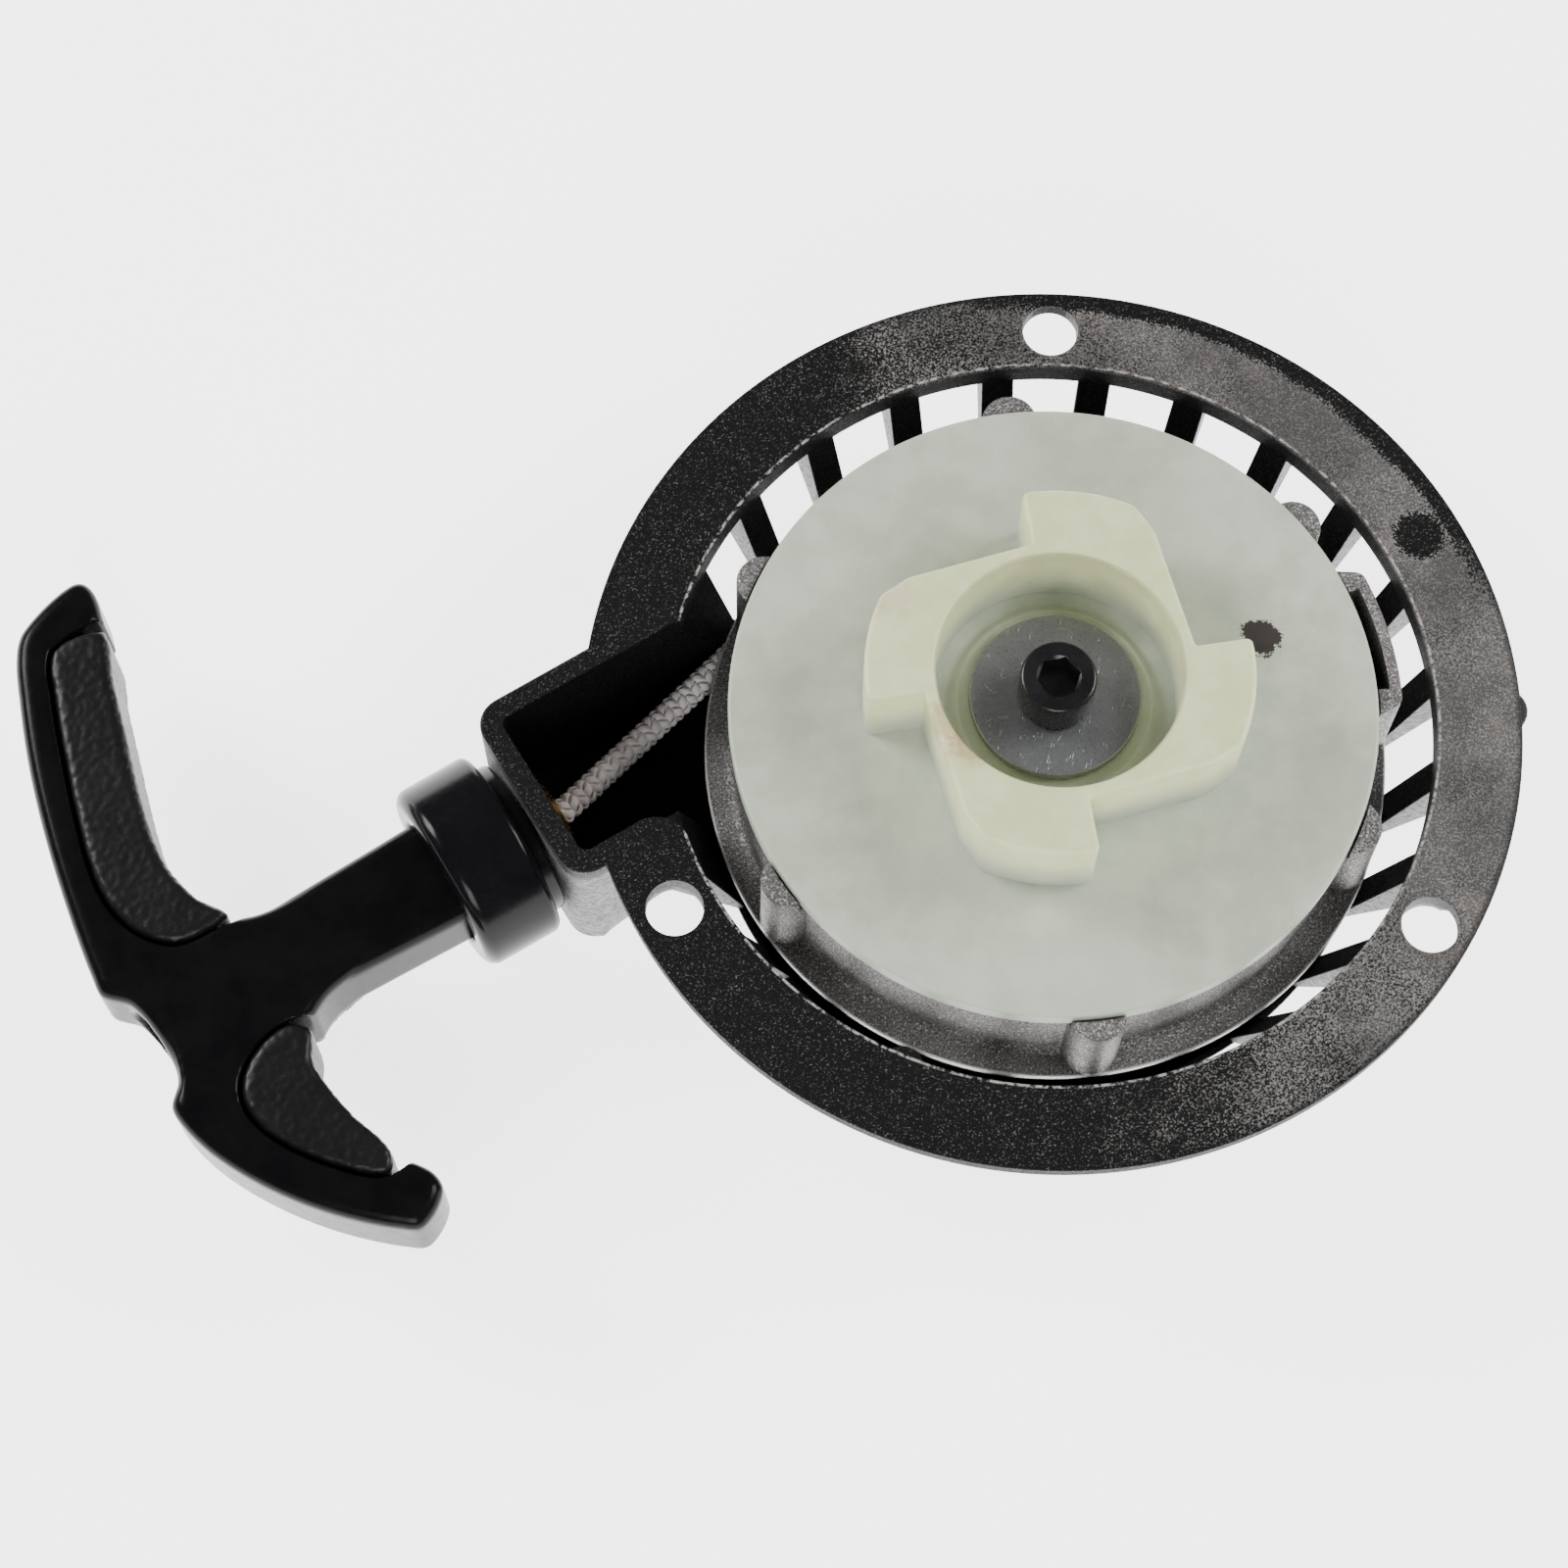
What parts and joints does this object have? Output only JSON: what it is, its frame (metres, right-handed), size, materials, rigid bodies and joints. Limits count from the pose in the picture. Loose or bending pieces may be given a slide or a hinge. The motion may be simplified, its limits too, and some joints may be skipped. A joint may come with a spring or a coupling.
{
  "type": "recoil starter",
  "caption": "Recoil starter for a small two-stroke engine: slotted cast housing, rope reel, claw drive disc with wind-up spring, rope and T-handle.",
  "frame": {"origin": "centre of the housing's closed outer face, on the reel's axis", "axes": "+Z along the reel's axis towards the engine; the rope is pulled in the XY plane at 212 degrees from +X, 18 mm above the outer face"},
  "size_m": [0.2017, 0.1307, 0.0477],
  "materials": {
    "housing_black": "thin black overspray on a cast aluminium grain",
    "cast_aluminium": "as cast, grainy",
    "white_nylon": "milky, satin",
    "washer_steel": "zinc plated, scratched",
    "black_oxide": "black oxide, oiled",
    "brass": "formed sheet",
    "spring_steel": "rolled strip",
    "rope_braid": "round polyester braid",
    "handle_plastic": "gloss moulding",
    "pad_rubber": "pebbled soft grip",
    "bumper_rubber": "smooth, semi-gloss"
  },
  "bodies": {
    "root": {"housing": "housing_black", "rope_eyelet": "brass", "retaining_washer": "washer_steel", "centre_screw": "black_oxide", "recoil_spring": "spring_steel", "rope_span": "rope_braid"},
    "reel": {"rope_reel": "cast_aluminium", "rope_winding": "rope_braid", "reel_knot": "rope_braid", "assist_spring": "spring_steel"},
    "disc": {"drive_disc": "white_nylon"},
    "rope_end": {"rope_pulled": "rope_braid", "rope_tail": "rope_braid", "handle_knot": "rope_braid", "knot_washer": "washer_steel", "rope_bumper": "bumper_rubber"},
    "handle": {"handle_grip": "handle_plastic", "grip_pad_long": "pad_rubber", "grip_pad_short": "pad_rubber"}
  },
  "joints": [
    {"name": "reel_spin", "type": "hinge", "parent": "root", "child": "reel", "pos_m": [0, 0, 0.0186], "axis": [0, 0, 1], "range_deg": [0, 936], "stiffness_Nm_per_rad": 0.012, "springref_deg": -859.44, "deforming": ["recoil_spring", "rope_winding"]},
    {"name": "disc_wind_up", "type": "hinge", "parent": "reel", "child": "disc", "pos_m": [0, 0, 0.03495], "axis": [0, 0, 1], "range_deg": [-300, 0], "stiffness_Nm_per_rad": 0.02, "springref_deg": 171.89, "deforming": ["assist_spring"]},
    {"name": "rope_pull", "type": "slide", "parent": "root", "child": "rope_end", "axis": [-0.848, -0.5299, 0], "range_m": [0, 0.594], "deforming": ["rope_pulled"]},
    {"name": "handle_twist", "type": "hinge", "parent": "rope_end", "child": "handle", "pos_m": [-0.07941, -0.01861, 0.018], "axis": [-0.848, -0.5299, 0], "range_deg": [-180, 180]}
  ],
  "couplings": [
    {"joint": "rope_pull", "follows": "reel_spin", "m_per_rad": 0.0363}
  ]
}
